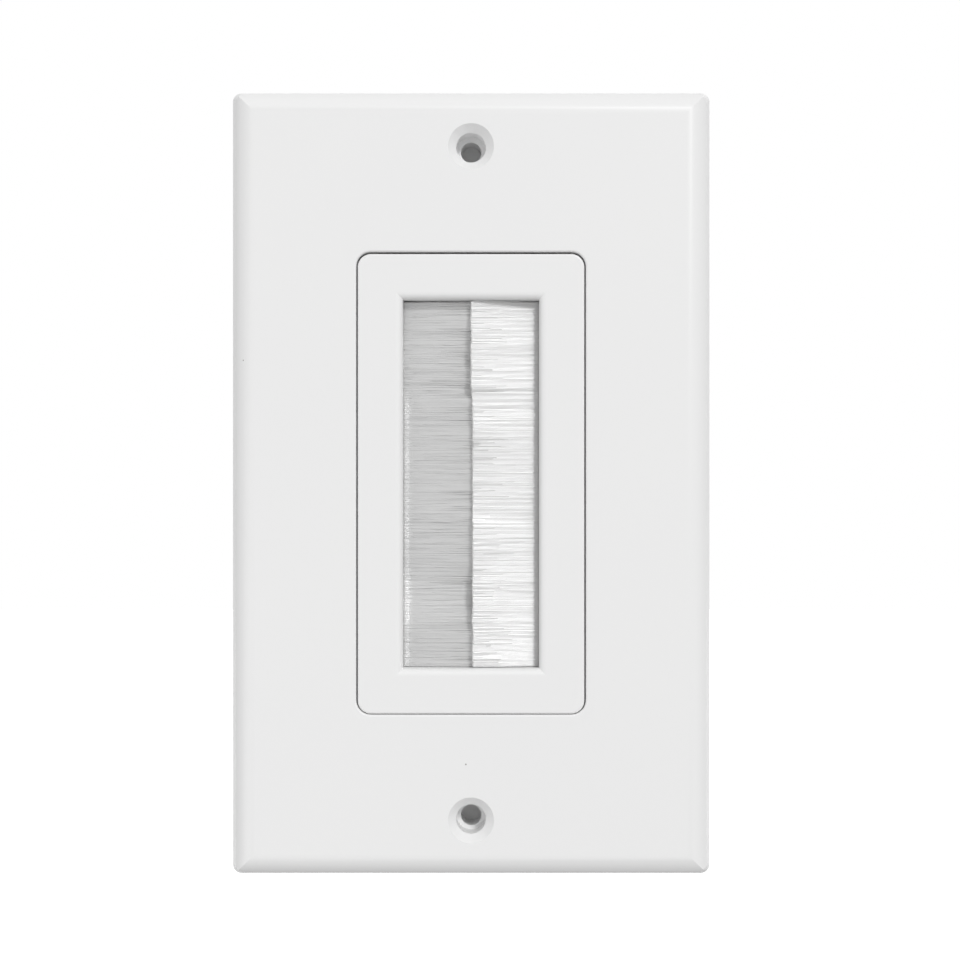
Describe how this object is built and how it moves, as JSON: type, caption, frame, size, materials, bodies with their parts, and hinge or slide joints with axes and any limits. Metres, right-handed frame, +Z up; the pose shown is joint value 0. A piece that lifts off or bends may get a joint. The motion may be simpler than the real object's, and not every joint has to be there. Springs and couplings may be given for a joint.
{
  "type": "brush cable wall plate",
  "caption": "White single-gang wall plate whose window holds facing strip brushes; cables are pushed through between the bristles.",
  "frame": {"origin": "middle of the plate's outline on the wall plane, which is the back of the plate's rim", "axes": "+Z up the plate's long side, +X to the right seen from the room, +Y into the wall, so the front faces -Y"},
  "size_m": [0.0698, 0.0099, 0.1142],
  "materials": {
    "plate_plastic": "smooth semi-gloss white moulding",
    "insert_plastic": "smooth semi-gloss white moulding",
    "strip_steel": "bright zinc-coated strip and wire",
    "bristle_nylon": "white nylon filaments, glossy along their length"
  },
  "bodies": {
    "root": {"wall_plate": "plate_plastic", "brush_insert": "insert_plastic", "left_channel": "strip_steel", "right_channel": "strip_steel", "left_core_wire": "strip_steel", "right_core_wire": "strip_steel", "left_bristles": "bristle_nylon", "right_bristles": "bristle_nylon"}
  },
  "joints": []
}
